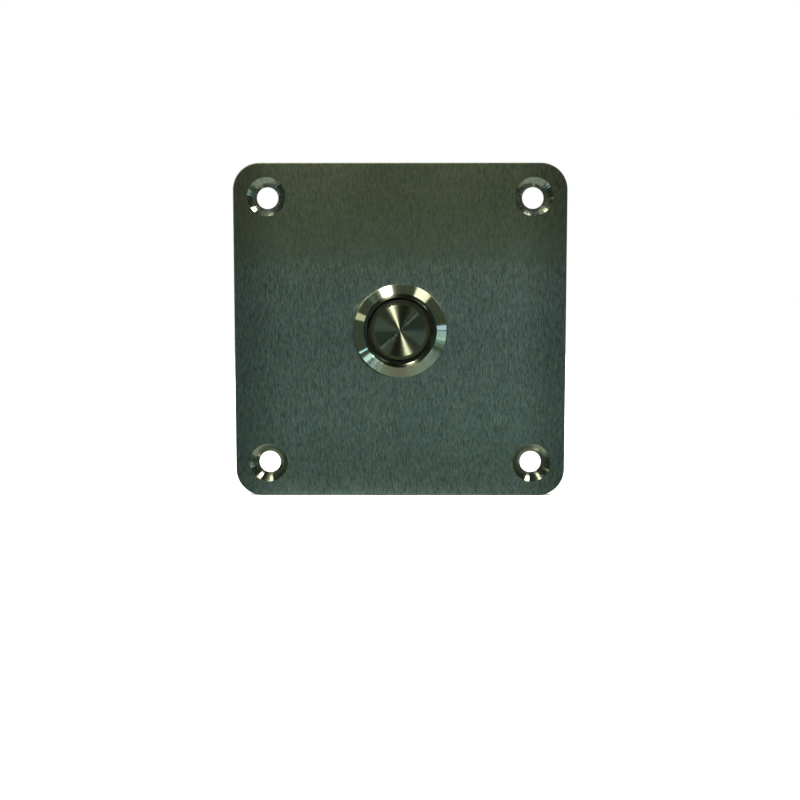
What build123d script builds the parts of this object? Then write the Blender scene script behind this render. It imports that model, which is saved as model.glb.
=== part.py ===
from build123d import *
import os
from math import cos, pi, radians, sin, sqrt, tan

# A vandal-resistant push button for a door entry point: a square face plate of brushed stainless
# steel with four countersunk fixing holes, and a push switch held in its middle by a nut.
# Sizes are in millimetres. Y runs along the switch axis: the face looks to -Y and Y grows to the
# rear, X is to the right and Z is up. The origin is the middle of the plate's back face, which
# lies on the wall. Places along the axis are named by what lies there, as in button_face.

# Clearances shared by the pieces
running_clearance = 0.08    # radial, between pieces that slide on each other
seat_clearance = 0.05       # between flat faces that part or meet as the button moves
loose_clearance = 0.1       # radial, between fixed pieces
cut_margin = 1.0            # how far a cutting tool reaches past the surface that it cuts

# Face plate
plate_width = 100.0
plate_height = 100.0
plate_thickness = 3.0
plate_corner_radius = 8.0
plate_edge_radius = 0.3
fixing_pitch_x = 80.0
fixing_pitch_z = 80.0
fixing_hole_diameter = 6.5
countersink_diameter = 11.5
countersink_angle = 90.0
plate_hole_clearance = 0.2

# Bezel and barrel, turned in one piece
bezel_diameter = 28.0
bezel_overhang = 1.5        # how far the bezel reaches out over the 25 mm thread
thread_end_chamfer = 0.8
gasket_thickness = 0.7
gasket_inset = 0.3          # how far the gasket stays inside the bezel's edge
bezel_rim_height = 0.6
bezel_bevel_rise = 1.6
bezel_land_width = 0.95     # flat ring between the bevel and the recess
bezel_lip_chamfer = 0.15
recess_depth = 2.5
rear_bore_diameter = 20.0
web_thickness = 2.5

# Wiper ring in the bezel's recess
wiper_width = 1.12          # from the button's guide bore to the recess's wall
wiper_height = 1.0
wiper_lip_height = 0.35
wiper_lip_width = 0.35

# Lock washer and nut
washer_reach = 3.0          # radial, from the thread to the ends of the teeth
washer_band_width = 1.6
washer_strip = 0.6
washer_tooth_width = 1.8
washer_tooth_twist = 25.0
washer_tooth_count = 18
nut_wall = 2.5              # from the thread to the nut's flats
nut_side_count = 6
nut_thickness = 5.0
nut_chamfer_angle = 30.0

# Button
button_diameter = 17.4
button_shoulder_width = 1.0
button_shoulder_drop = 0.35
button_inset = 0.2          # the flat face lies this far behind the bezel's crest
button_travel = 2.5
button_skirt_length = 8.15
button_skirt_wall = 1.8
button_cap_thickness = 3.2
stem_diameter = 8.0
stem_end_wall = 0.8         # between the clip's groove and the end of the stem
spigot_diameter = 5.0
spigot_length = 2.3

# O-ring in the button's skirt
o_ring_groove_start = 3.7   # from the button's face to the groove
o_ring_groove_width = 1.6
o_ring_groove_depth = 0.95
o_ring_clearance = 0.02
o_ring_sides = 12           # sides of the polygon that stands for the round section

# Springs
return_spring_wire = 0.7
return_spring_mean_diameter = 11.4
return_spring_turns = 4
contact_spring_wire = 0.35
contact_spring_mean_diameter = 4.8
contact_spring_turns = 4
contact_spring_length = 4.2
spring_seat_clearance = 0.02
wire_sides = 8              # sides of the polygon that stands for the round wire

# Snap rings
clip_thickness = 0.8
clip_outer_diameter = 12.0
clip_band_width = 1.4
clip_groove_depth = 0.8
clip_opening_angle = 80.0
clip_lug_width = 2.2
clip_lug_angles = (-30, 90, 210)
bridge_clip_thickness = 0.6
bridge_clip_outer_diameter = 5.2
bridge_clip_groove_depth = 0.5
bridge_clip_slot = 1.5

# Plunger
plunger_cup_diameter = 7.2
plunger_cup_length = 3.8
spindle_diameter = 3.2
spindle_tip = 1.05

# Contacts
contact_over_travel = 0.7
closed_contact_gap = 0.02
bridge_length = 14.0
bridge_width = 4.0
bridge_thickness = 0.6
tip_spacing = 11.0
tip_diameter = 2.4
tip_height = 0.6
tip_chamfer = 0.15

# Terminals, clamps and screws
strip_thickness = 0.6
strip_width = 4.0
strip_bend_radius = 0.1     # on the inside of a bend
leg_inner_x = 3.8
terminal_spacing = 10.0
clamp_size = 5.6
clamp_thickness = 1.0
clamp_corner_radius = 0.5
screw_diameter = 3.0
screw_length = 5.5
screw_head_diameter = 5.2
screw_head_height = 1.9
screw_head_rounding = 0.5
screw_slot_width = 0.8
screw_slot_depth = 1.1
screw_cross_length = 3.0

# Base moulding
base_wall = 1.5
base_lead_in = 0.5          # radial taper of the rim that enters the barrel first
base_lead_length = 1.5
base_rim_gap = 1.5          # from the barrel's web to the front rim of the base
base_head_inset = 0.5       # radial, so that the nut passes over the head onto the thread
base_floor_step = 1.4       # the chamber's floor lies this far behind the barrel's end
base_floor_thickness = 5.6
base_wall_spare = 1.2       # the walls stand this far above the screw heads
barrier_thickness = 1.4
wire_channel_half_width = 8.8
spindle_pocket_clearance = 0.7
snap_height = 0.3
snap_width = 1.0
snap_from_end = 3.0
key_width = 3.0
key_length = 1.5

# Radii that follow
thread_radius = bezel_diameter / 2 - bezel_overhang
plate_hole_radius = thread_radius + plate_hole_clearance
gasket_inner_radius = thread_radius + loose_clearance
gasket_outer_radius = bezel_diameter / 2 - gasket_inset
button_radius = button_diameter / 2
guide_radius = button_radius + running_clearance
stem_radius = stem_diameter / 2
web_hole_radius = stem_radius + running_clearance
recess_radius = guide_radius + wiper_width
crest_radius = recess_radius + bezel_lip_chamfer + bezel_land_width
rear_bore_radius = rear_bore_diameter / 2
skirt_inner_radius = button_radius - button_skirt_wall
o_ring_groove_radius = button_radius - o_ring_groove_depth
clip_groove_radius = stem_radius - clip_groove_depth
spigot_radius = spigot_diameter / 2
plunger_cup_radius = plunger_cup_diameter / 2
spindle_radius = spindle_diameter / 2
bridge_clip_groove_radius = spindle_radius - bridge_clip_groove_depth
base_outer_radius = rear_bore_radius - loose_clearance
chamber_radius = base_outer_radius - base_wall
head_radius = thread_radius - base_head_inset
washer_radius = thread_radius + washer_reach
tip_radius = tip_diameter / 2
screw_radius = screw_diameter / 2
screw_hole_radius = screw_radius + seat_clearance

# Places along the axis, from the bezel to the rear
plate_front = -plate_thickness
gasket_front = plate_front - gasket_thickness
rim_front = gasket_front - bezel_rim_height
crest_front = rim_front - bezel_bevel_rise
recess_floor = crest_front + recess_depth
button_face = crest_front + button_inset
skirt_end = button_face + button_skirt_length
pocket_roof = button_face + button_cap_thickness
web_front = skirt_end + button_travel + seat_clearance
web_rear = web_front + web_thickness
clip_front = web_rear + seat_clearance
clip_rear = clip_front + clip_thickness
clip_groove_rear = clip_rear + seat_clearance
stem_end = clip_groove_rear + stem_end_wall
spigot_end = stem_end + spigot_length
spring_seat = stem_end + plunger_cup_length
bridge_front = spring_seat + contact_spring_length
bridge_rear = bridge_front + bridge_thickness
bridge_clip_front = bridge_rear + seat_clearance
bridge_clip_rear = bridge_clip_front + bridge_clip_thickness
bridge_clip_groove_rear = bridge_clip_rear + seat_clearance
spindle_end = bridge_clip_groove_rear + spindle_tip
bridge_tip_rear = bridge_rear + tip_height
bridge_travel = button_travel - contact_over_travel
fixed_tip_front = bridge_tip_rear + bridge_travel + closed_contact_gap
strip_front = fixed_tip_front + tip_height
chamber_floor = strip_front + strip_thickness
barrel_end = chamber_floor - base_floor_step
terminal_seat = chamber_floor + base_floor_thickness
clamp_front = terminal_seat + strip_thickness
clamp_rear = clamp_front + clamp_thickness
screw_head_rear = clamp_rear + screw_head_height
base_rear = screw_head_rear + base_wall_spare
washer_height = (
    washer_tooth_width * sin(radians(washer_tooth_twist))
    + washer_strip * cos(radians(washer_tooth_twist))
)
nut_front = washer_height + 2 * seat_clearance
nut_rear = nut_front + nut_thickness

# Places across the axis
fixing_places = [
    (x * fixing_pitch_x / 2, z * fixing_pitch_z / 2) for x in (-1, 1) for z in (-1, 1)
]
riser_outer_x = sqrt(chamber_radius**2 - (strip_width / 2) ** 2) - 2 * loose_clearance
riser_inner_x = riser_outer_x - strip_thickness
tip_x = tip_spacing / 2
screw_x = terminal_spacing / 2
sides = (("left", -1), ("right", 1))


def slab(outline, front, rear):
    """Extrude an outline, drawn in X and Z as seen from the front, between two places."""
    return extrude(Plane.XZ.offset(-rear) * outline, amount=rear - front)


def turned(*outline):
    """Turn an outline of (radius, place) points about the switch axis."""
    return revolve(make_face(Polyline(*outline, close=True)), Axis.Y)


def ring(inner, outer, front, rear):
    return slab(Circle(outer) - Circle(inner), front, rear)


def block(x_range, front, rear, half_height):
    """A box between two places in X, symmetric in Z."""
    outline = Rectangle(x_range[1] - x_range[0], 2 * half_height)
    return slab(Pos(sum(x_range) / 2, 0) * outline, front, rear)


def mirrored(side, near, far):
    """A range in X on the left or the right of the axis."""
    return (near, far) if side > 0 else (-far, -near)


def face_plate():
    plate = slab(RectangleRounded(plate_width, plate_height, plate_corner_radius), plate_front, 0)
    plate = fillet(plate.faces().sort_by(Axis.Y)[0].edges(), plate_edge_radius)
    plate -= slab(Circle(plate_hole_radius), plate_front - cut_margin, cut_margin)
    hole_radius = fixing_hole_diameter / 2
    sink_radius = countersink_diameter / 2
    slope = tan(radians(countersink_angle / 2))
    sink_end = plate_front + (sink_radius - hole_radius) / slope
    cutter = turned(
        (0, plate_front - cut_margin),
        (sink_radius + cut_margin * slope, plate_front - cut_margin),
        (hole_radius, sink_end),
        (hole_radius, cut_margin),
        (0, cut_margin),
    )
    for x, z in fixing_places:
        plate -= Pos(x, 0, z) * cutter
    return plate


def bezel_barrel():
    """Bezel with bevel and flat land, guide bore, web for the stem, and the long rear bore."""
    snap_front = barrel_end - snap_from_end - snap_width - loose_clearance
    snap_rear = barrel_end - snap_from_end + loose_clearance
    snap_radius = rear_bore_radius + snap_height
    barrel = turned(
        (thread_radius, gasket_front),
        (bezel_diameter / 2, gasket_front),
        (bezel_diameter / 2, rim_front),
        (crest_radius, crest_front),
        (recess_radius + bezel_lip_chamfer, crest_front),
        (recess_radius, crest_front + bezel_lip_chamfer),
        (recess_radius, recess_floor),
        (guide_radius, recess_floor),
        (guide_radius, web_front),
        (web_hole_radius, web_front),
        (web_hole_radius, web_rear),
        (rear_bore_radius, web_rear),
        (rear_bore_radius, snap_front),
        (snap_radius, snap_front + snap_height),
        (snap_radius, snap_rear - snap_height),
        (rear_bore_radius, snap_rear),
        (rear_bore_radius, barrel_end),
        (thread_radius - thread_end_chamfer, barrel_end),
        (thread_radius, barrel_end - thread_end_chamfer),
    )
    return barrel - key_block(key_width / 2 + loose_clearance, loose_clearance)


def key_block(half_width, front_spare):
    """The key at the top of the base's head, or the notch for it in the barrel's end."""
    key_front = barrel_end - key_length - front_spare
    outline = Pos(0, (base_outer_radius + thread_radius + cut_margin) / 2) * Rectangle(
        2 * half_width, thread_radius + cut_margin - base_outer_radius
    )
    return slab(outline, key_front, barrel_end + front_spare)


def flange_gasket():
    return ring(gasket_inner_radius, gasket_outer_radius, gasket_front, plate_front)


def wiper_ring():
    """Rubber ring with a raised lip next to the button."""
    outer = recess_radius - seat_clearance
    body_front = recess_floor - wiper_height
    lip_front = body_front - wiper_lip_height
    return turned(
        (guide_radius, recess_floor),
        (outer, recess_floor),
        (outer, body_front),
        (guide_radius + 2 * wiper_lip_width, body_front),
        (guide_radius + wiper_lip_width, lip_front),
        (guide_radius, lip_front),
    )


def lock_washer():
    """A band with teeth twisted out of its plane, so that their edges reach both sides."""
    middle = nut_front / 2
    inner = thread_radius + loose_clearance
    band_outer = inner + washer_band_width
    washer = ring(inner, band_outer, middle - washer_strip / 2, middle + washer_strip / 2)
    tooth_reach = washer_radius - band_outer + washer_strip
    tooth = Rot(washer_tooth_twist, 0, 0) * Box(tooth_reach, washer_strip, washer_tooth_width)
    tooth = Pos(washer_radius - tooth_reach / 2, middle, 0) * tooth
    for index in range(washer_tooth_count):
        washer += Rot(0, index * 360 / washer_tooth_count, 0) * tooth
    return washer


def mounting_nut():
    """Thin hexagon nut, flat on the washer's side and chamfered on the other."""
    bore = thread_radius + seat_clearance
    flat_radius = thread_radius + nut_wall
    corner_radius = flat_radius / cos(pi / nut_side_count)
    drop = (corner_radius - flat_radius) * tan(radians(nut_chamfer_angle))
    hexagon = RegularPolygon(flat_radius, nut_side_count, major_radius=False)
    envelope = turned(
        (bore, nut_front),
        (corner_radius + cut_margin, nut_front),
        (corner_radius + cut_margin, nut_rear - drop),
        (corner_radius, nut_rear - drop),
        (flat_radius, nut_rear),
        (bore + thread_end_chamfer, nut_rear),
        (bore, nut_rear - thread_end_chamfer),
    )
    return slab(hexagon, nut_front, nut_rear) & envelope


def button():
    """Cap, skirt with the seal's groove, and stem with the clip's groove and a spigot."""
    groove_front = button_face + o_ring_groove_start
    groove_rear = groove_front + o_ring_groove_width
    return turned(
        (0, button_face),
        (button_radius - button_shoulder_width, button_face),
        (button_radius, button_face + button_shoulder_drop),
        (button_radius, groove_front),
        (o_ring_groove_radius, groove_front),
        (o_ring_groove_radius, groove_rear),
        (button_radius, groove_rear),
        (button_radius, skirt_end),
        (skirt_inner_radius, skirt_end),
        (skirt_inner_radius, pocket_roof),
        (stem_radius, pocket_roof),
        (stem_radius, web_rear),
        (clip_groove_radius, web_rear),
        (clip_groove_radius, clip_groove_rear),
        (stem_radius, clip_groove_rear),
        (stem_radius, stem_end),
        (spigot_radius, stem_end),
        (spigot_radius, spigot_end),
        (0, spigot_end),
    )


def button_o_ring():
    middle = button_face + o_ring_groove_start + o_ring_groove_width / 2
    centre_radius = (guide_radius + o_ring_groove_radius) / 2
    section_radius = (guide_radius - o_ring_groove_radius) / 2 - o_ring_clearance
    section = Pos(centre_radius, middle) * RegularPolygon(section_radius, o_ring_sides)
    return revolve(section, Axis.Y)


def ground_spring(wire, mean_diameter, turns, front, rear):
    """A helical compression spring whose end coils are ground flat at both seats."""
    mean_radius = mean_diameter / 2
    pitch = (rear - front) / turns
    helix = Helix(pitch, rear - front + pitch, mean_radius)
    section = Plane(origin=helix @ 0, z_dir=helix % 0) * RegularPolygon(wire / 2, wire_sides)
    coil = sweep(section, path=helix, is_frenet=True)
    coil = Pos(0, front - pitch / 2, 0) * Rot(-90, 0, 0) * coil
    return coil & ring(mean_radius - wire, mean_radius + wire, front, rear)


def return_spring():
    return ground_spring(
        return_spring_wire,
        return_spring_mean_diameter,
        return_spring_turns,
        pocket_roof + spring_seat_clearance,
        web_front,
    )


def contact_spring():
    return ground_spring(
        contact_spring_wire,
        contact_spring_mean_diameter,
        contact_spring_turns,
        spring_seat,
        bridge_front - spring_seat_clearance,
    )


def retaining_clip():
    """An open ring with three lugs that reach into the stem's groove."""
    outer = clip_outer_diameter / 2
    grip = clip_groove_radius + seat_clearance
    band = Circle(outer) - Circle(outer - clip_band_width)
    lug_reach = outer - clip_band_width / 2
    lug = Pos(lug_reach / 2, 0) * Rectangle(lug_reach, clip_lug_width)
    clip = band
    for angle in clip_lug_angles:
        clip += Rot(0, 0, angle) * lug
    mouth = outer * tan(radians(clip_opening_angle / 2))
    opening = make_face(Polyline((0, 0), (mouth, -outer), (-mouth, -outer), close=True))
    return slab(clip - opening - Circle(grip), clip_front, clip_rear)


def plunger():
    """Cup on the button's spigot, spring seat, and a spindle with a groove for its ring."""
    socket_radius = spigot_radius + seat_clearance
    return turned(
        (socket_radius, stem_end),
        (plunger_cup_radius, stem_end),
        (plunger_cup_radius, spring_seat),
        (spindle_radius, spring_seat),
        (spindle_radius, bridge_clip_front - seat_clearance),
        (bridge_clip_groove_radius, bridge_clip_front - seat_clearance),
        (bridge_clip_groove_radius, bridge_clip_groove_rear),
        (spindle_radius, bridge_clip_groove_rear),
        (spindle_radius, spindle_end - bridge_clip_groove_depth),
        (bridge_clip_groove_radius, spindle_end),
        (0, spindle_end),
        (0, spigot_end + seat_clearance),
        (socket_radius, spigot_end + seat_clearance),
    )


def contact_bridge():
    strip = SlotOverall(bridge_length, bridge_width)
    hole = Circle(spindle_radius + running_clearance)
    return slab(strip - hole, bridge_front, bridge_rear)


def contact_tip(x, root, end):
    """A round contact that stands on a strip at root and ends in a chamfered face at end."""
    chamfer_end = end - tip_chamfer if end > root else end + tip_chamfer
    return Pos(x, 0, 0) * turned(
        (0, root), (tip_radius, root), (tip_radius, chamfer_end), (tip_radius - tip_chamfer, end), (0, end)
    )


def bridge_clip():
    grip = bridge_clip_groove_radius + seat_clearance
    outline = Circle(bridge_clip_outer_diameter / 2) - Circle(grip)
    outline -= Pos(0, -bridge_clip_outer_diameter / 2) * Rectangle(
        bridge_clip_slot, bridge_clip_outer_diameter
    )
    return slab(outline, bridge_clip_front, bridge_clip_rear)


def base_body():
    """Round moulding: contact chamber, head behind the barrel, barrier and side walls."""
    base_front = web_rear + base_rim_gap
    snap_front = barrel_end - snap_from_end - snap_width
    snap_rear = barrel_end - snap_from_end
    snap_radius = base_outer_radius + snap_height
    base = turned(
        (chamber_radius, base_front),
        (base_outer_radius - base_lead_in, base_front),
        (base_outer_radius, base_front + base_lead_length),
        (base_outer_radius, snap_front),
        (snap_radius, snap_front + snap_height),
        (snap_radius, snap_rear - snap_height),
        (base_outer_radius, snap_rear),
        (base_outer_radius, barrel_end),
        (head_radius, barrel_end),
        (head_radius, base_rear),
        (0, base_rear),
        (0, chamber_floor),
        (chamber_radius, chamber_floor),
    )
    base += key_block(key_width / 2, 0) & turned(
        (0, web_rear), (head_radius, web_rear), (head_radius, terminal_seat), (0, terminal_seat)
    )
    pocket_radius = spindle_radius + spindle_pocket_clearance
    pocket_end = spindle_end + button_travel + spindle_pocket_clearance
    base -= slab(Circle(pocket_radius), chamber_floor - cut_margin, pocket_end)
    for _, side in sides:
        channel = mirrored(side, barrier_thickness / 2, wire_channel_half_width)
        base -= block(channel, terminal_seat, base_rear + cut_margin, head_radius)
        slot = mirrored(side, riser_inner_x - strip_bend_radius, riser_outer_x + loose_clearance)
        slot_half = strip_width / 2 + loose_clearance
        base -= block(slot, chamber_floor - cut_margin, terminal_seat + cut_margin, slot_half)
        screw_hole_front = clamp_rear - screw_length - seat_clearance
        hole = slab(Circle(screw_hole_radius), screw_hole_front, terminal_seat + cut_margin)
        base -= Pos(side * screw_x, 0, 0) * hole
    return base


def terminal(side):
    """A folded strip: leg in the chamber, riser through the base, and a wider pad for the screw."""
    pad_start = screw_x - clamp_size / 2
    profile = make_face(
        Polyline(
            (leg_inner_x, strip_front),
            (riser_outer_x, strip_front),
            (riser_outer_x, clamp_front),
            (pad_start, clamp_front),
            (pad_start, terminal_seat),
            (riser_inner_x, terminal_seat),
            (riser_inner_x, chamber_floor),
            (leg_inner_x, chamber_floor),
            close=True,
        )
    )
    outer_corners = profile.vertices().group_by(Axis.X)[-1]
    profile = fillet(outer_corners, strip_bend_radius + strip_thickness)
    inner_corners = profile.vertices().filter_by_position(Axis.X, riser_inner_x, riser_inner_x)
    profile = fillet(inner_corners, strip_bend_radius)
    strip = extrude(profile, amount=strip_width / 2, both=True)
    strip += block((pad_start, riser_inner_x), terminal_seat, clamp_front, clamp_size / 2)
    hole = slab(Circle(screw_hole_radius), terminal_seat - cut_margin, clamp_front + cut_margin)
    strip -= Pos(screw_x, 0, 0) * hole
    return strip if side > 0 else mirror(strip, about=Plane.YZ)


def clamp(side):
    outline = RectangleRounded(clamp_size, clamp_size, clamp_corner_radius) - Circle(screw_hole_radius)
    return Pos(side * screw_x, 0, 0) * slab(outline, clamp_front, clamp_rear)


def terminal_screw(side):
    """Pan head screw with a slot and a cross in its head."""
    rim_radius = screw_head_diameter / 2
    screw = turned(
        (0, clamp_rear - screw_length),
        (screw_radius, clamp_rear - screw_length),
        (screw_radius, clamp_rear),
        (rim_radius, clamp_rear),
        (rim_radius, screw_head_rear - screw_head_rounding),
        (rim_radius - screw_head_rounding, screw_head_rear),
        (0, screw_head_rear),
    )
    slot_floor = screw_head_rear - screw_slot_depth
    drive = Rectangle(screw_head_diameter + cut_margin, screw_slot_width)
    drive += Rectangle(screw_slot_width, screw_cross_length)
    screw -= slab(drive, slot_floor, screw_head_rear + cut_margin)
    return Pos(side * screw_x, 0, 0) * screw


pieces = {
    "face_plate": face_plate(),
    "bezel_barrel": bezel_barrel(),
    "flange_gasket": flange_gasket(),
    "wiper_ring": wiper_ring(),
    "lock_washer": lock_washer(),
    "mounting_nut": mounting_nut(),
    "button": button(),
    "button_o_ring": button_o_ring(),
    "return_spring": return_spring(),
    "retaining_clip": retaining_clip(),
    "plunger": plunger(),
    "contact_spring": contact_spring(),
    "contact_bridge": contact_bridge(),
    "bridge_clip": bridge_clip(),
    "base_body": base_body(),
}
for name, side in sides:
    pieces[f"bridge_tip_{name}"] = contact_tip(side * tip_x, bridge_rear, bridge_tip_rear)
    pieces[f"fixed_tip_{name}"] = contact_tip(side * tip_x, strip_front, fixed_tip_front)
    pieces[f"terminal_{name}"] = terminal(side)
    pieces[f"clamp_{name}"] = clamp(side)
    pieces[f"terminal_screw_{name}"] = terminal_screw(side)

os.makedirs("parts", exist_ok=True)
for node, shape in pieces.items():
    export_step(shape, f"parts/{node}.step")
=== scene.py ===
from math import atan2, ceil, cos, hypot, pi, radians, sin, tan

import bmesh
import bpy
from mathutils import Matrix, Vector


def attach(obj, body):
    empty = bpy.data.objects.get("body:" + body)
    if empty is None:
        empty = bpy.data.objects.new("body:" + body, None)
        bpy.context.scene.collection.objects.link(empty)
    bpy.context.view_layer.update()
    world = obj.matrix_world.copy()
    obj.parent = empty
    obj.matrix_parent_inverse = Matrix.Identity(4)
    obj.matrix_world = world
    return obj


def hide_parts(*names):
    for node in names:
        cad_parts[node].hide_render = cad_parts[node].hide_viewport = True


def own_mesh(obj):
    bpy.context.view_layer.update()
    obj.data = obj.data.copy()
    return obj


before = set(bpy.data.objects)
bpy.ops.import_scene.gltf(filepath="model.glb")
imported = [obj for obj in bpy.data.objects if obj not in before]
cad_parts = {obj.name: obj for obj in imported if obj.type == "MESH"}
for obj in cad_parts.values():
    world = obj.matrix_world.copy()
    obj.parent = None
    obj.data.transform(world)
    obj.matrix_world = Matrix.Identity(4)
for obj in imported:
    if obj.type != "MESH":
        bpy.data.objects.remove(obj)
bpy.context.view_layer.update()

# Looks of a square brushed steel face plate with an anti-vandal push button held in it by a nut.
# Outlines are in millimetres, as (radius, place along Y) for turned pieces.
# The face looks to -Y, X is to the right and Z is up.
MM = 0.001
# Brings a turned mesh's local Z onto Y. Its local X stays, and its local Y then points down.
TURN_TO_AXIS = Matrix.Rotation(-pi / 2, 4, "X")

# Places along the switch axis, as in the CAD
CREST = -5.9
BUTTON_FACE = -5.7
GASKET_FRONT = -3.7
RECESS_FLOOR = -3.4
PLATE_FRONT = -3.0
SINK_FLOOR = -0.5
SPRING_SEAT = 5.0
BARREL_END = 20.02
NUT_FRONT = 1.4045
NUT_REAR = 6.4045
TERMINAL_SEAT = 27.02
CLAMP_FRONT = 27.62
CLAMP_REAR = 28.62
SCREW_TOP = 30.52
BASE_REAR = 31.72

# Measures across that axis, as in the CAD
PLATE_HALF = 50
PLATE_CORNER = 8
HOLE_RADIUS = 3.25
SINK_RADIUS = 5.75
BORE_RADIUS = 8.78
BUTTON_RADIUS = 8.7
BARREL_RADIUS = 12.5
SCREW_OFFSET = 5

FIXING_PLACES = {
    "top_left": (-40, 40), "top_right": (40, 40),
    "bottom_left": (-40, -40), "bottom_right": (40, -40),
}
SIDES = {"left": -1, "right": 1}


# Node trees

class Signal:
    """A value or colour on its way through the nodes. Arithmetic on a value adds Math nodes."""

    def __init__(self, nodes, socket):
        self.nodes = nodes
        self.socket = socket

    def __add__(self, other):
        return self.nodes.maths("ADD", self, other)

    def __sub__(self, other):
        return self.nodes.maths("SUBTRACT", self, other)

    def __rsub__(self, other):
        return self.nodes.maths("SUBTRACT", other, self)

    def __mul__(self, other):
        return self.nodes.maths("MULTIPLY", self, other)

    def __truediv__(self, other):
        return self.nodes.maths("DIVIDE", self, other)

    __radd__ = __add__
    __rmul__ = __mul__

    def band(self, low, high, to_low=0.0, to_high=1.0):
        """Brings the range from low to high to a new range, with a soft start and end."""
        return self.nodes.add(
            "ShaderNodeMapRange",
            {"interpolation_type": "SMOOTHSTEP"},
            {"Value": self, "From Min": low, "From Max": high, "To Min": to_low, "To Max": to_high},
        )


class Nodes:
    """A node tree, filled from Python."""

    def __init__(self, tree):
        self.tree = tree
        tree.nodes.clear()

    def add(self, kind, settings=None, values=None, output=None):
        """One node: its settings first, then the values or links of its sockets by identifier."""
        node = self.tree.nodes.new(kind)
        for key, value in (settings or {}).items():
            if key == "stops":
                self.fill_ramp(node.color_ramp, value)
            else:
                setattr(node, key, value)
        for key, value in (values or {}).items():
            socket = next(s for s in node.inputs if s.identifier == key)
            self.join(socket, value)
        if not node.outputs:
            return None
        found = [s for s in node.outputs if s.identifier == output]
        return Signal(self, found[0] if found else node.outputs[0])

    def join(self, socket, value):
        if isinstance(value, Signal):
            self.tree.links.new(value.socket, socket)
        elif socket.type == "RGBA":
            socket.default_value = (*value[:3], 1.0)
        else:
            socket.default_value = value

    def fill_ramp(self, ramp, stops):
        while len(ramp.elements) < len(stops):
            ramp.elements.new(0.5)
        for element, (place, colour) in zip(ramp.elements, stops):
            element.position = place
            element.color = (*colour, 1.0)

    def place(self, size):
        """The spot on the piece in units of size, which is in millimetres along X, Y and Z."""
        spot = self.add("ShaderNodeTexCoord", output="Object")
        return self.add(
            "ShaderNodeVectorMath",
            {"operation": "MULTIPLY"},
            {"Vector": spot, "Vector_001": [1 / (s * MM) for s in size]},
        )

    def noise(self, spot, detail):
        values = {"Vector": spot, "Scale": 1.0, "Detail": detail}
        return self.add("ShaderNodeTexNoise", {"noise_dimensions": "3D"}, values)

    def grain(self, size, detail):
        """Noise whose grains have a size in millimetres along X, Y and Z."""
        return self.noise(self.place(size), detail)

    def maths(self, operation, first, second=0.0):
        values = {"Value": first, "Value_001": second}
        return self.add("ShaderNodeMath", {"operation": operation}, values)

    def axes(self, spot):
        """The three parts of a vector."""
        node = self.add("ShaderNodeSeparateXYZ", values={"Vector": spot}).socket.node
        return [Signal(self, socket) for socket in node.outputs]

    def mix(self, share, first, second):
        return self.add(
            "ShaderNodeMix",
            {"data_type": "RGBA"},
            {"Factor_Float": share, "A_Color": first, "B_Color": second},
            output="Result_Color",
        )

    def ramp(self, share, stops):
        """Colours along a value from 0 to 1, from a list of (place, colour)."""
        return self.add("ShaderNodeValToRGB", {"stops": stops}, {"Fac": share})

    def bump(self, height, depth, strength):
        """Relief from a height of 0 to 1, with its depth in millimetres."""
        values = {"Height": height, "Distance": depth * MM, "Strength": strength}
        return self.add("ShaderNodeBump", values=values)


def surface(name, build, **constants):
    """A material with one Principled shader. build(nodes) gives what changes over the surface."""
    material = bpy.data.materials.new(name)
    material.use_nodes = True
    nodes = Nodes(material.node_tree)
    values = {key.replace("_", " "): value for key, value in constants.items()}
    values.update(build(nodes))
    shader = nodes.add("ShaderNodeBsdfPrincipled", values=values)
    nodes.add("ShaderNodeOutputMaterial", values={"Surface": shader})
    return material


def metal(name, build, **constants):
    return surface(name, build, Metallic=1.0, **constants)


def turned_metal(name, build, anisotropic=1.0):
    """Metal whose highlights are drawn out by the marks of turning."""
    return metal(name, build, Anisotropic=anisotropic, Anisotropic_Rotation=0.25)


# Finishes

def brushed_plate(nodes):
    """Fine upright brushing with short streaks and cloudy patches.

    Painted shade darkens the plate towards its left and right edge, and a painted reflection makes
    its upper third calmer, darker and warmer.
    """
    fine = nodes.grain((0.13, 0.13, 1.0), 1)
    streak = nodes.grain((0.24, 0.24, 1.5), 2)
    long_streak = nodes.grain((0.6, 0.6, 3.2), 1)
    cloud = nodes.grain((22, 22, 34), 2).band(0.3, 0.75)
    tint = nodes.grain((0.9, 0.9, 1.8), 1).band(0.22, 0.80)
    across, _, up = nodes.axes(nodes.place((1, 1, 1)))
    # Painted shade: the plate is darker towards its left and right edge.
    left_painted_shade = across.band(-PLATE_HALF, -32, 0.58, 1.0)
    right_painted_shade = across.band(33, PLATE_HALF, 1.0, 0.62)
    # Painted reflection: the upper third is calmer, darker and warmer, and darker still towards the
    # top.
    upper_painted_reflection = up.band(18.5, 22.5)
    marks = (streak - 0.5) * 1.4 + (long_streak - 0.5) * 0.3 + (fine - 0.5) * 0.75
    tone = 0.47 - upper_painted_reflection * 0.05 - up.band(20, PLATE_HALF) * 0.15
    tone = tone + marks * (1 - upper_painted_reflection * 0.48) + cloud * 0.06
    cool = nodes.mix(tone, (0.10, 0.13, 0.13), (0.66, 0.72, 0.73))
    warm = nodes.mix(tone, (0.115, 0.125, 0.095), (0.72, 0.71, 0.60))
    # The grain's colour, with the painted reflection of the upper third and the painted shade at
    # the left and right edge.
    grain_and_painted_light = nodes.mix(tint * (1 - upper_painted_reflection * 0.3) + upper_painted_reflection * 0.3, cool, warm)
    grain_and_painted_light = nodes.mix(left_painted_shade * right_painted_shade, (0.0, 0.0, 0.0), grain_and_painted_light)
    rough = 0.29 + fine * 0.04 + (streak - 0.5) * 0.06 + cloud * 0.02
    relief = nodes.bump(fine * 0.4 + streak * 0.6, 0.004, 0.25)
    return {"Base Color": grain_and_painted_light, "Roughness": rough, "Normal": relief}


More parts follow.
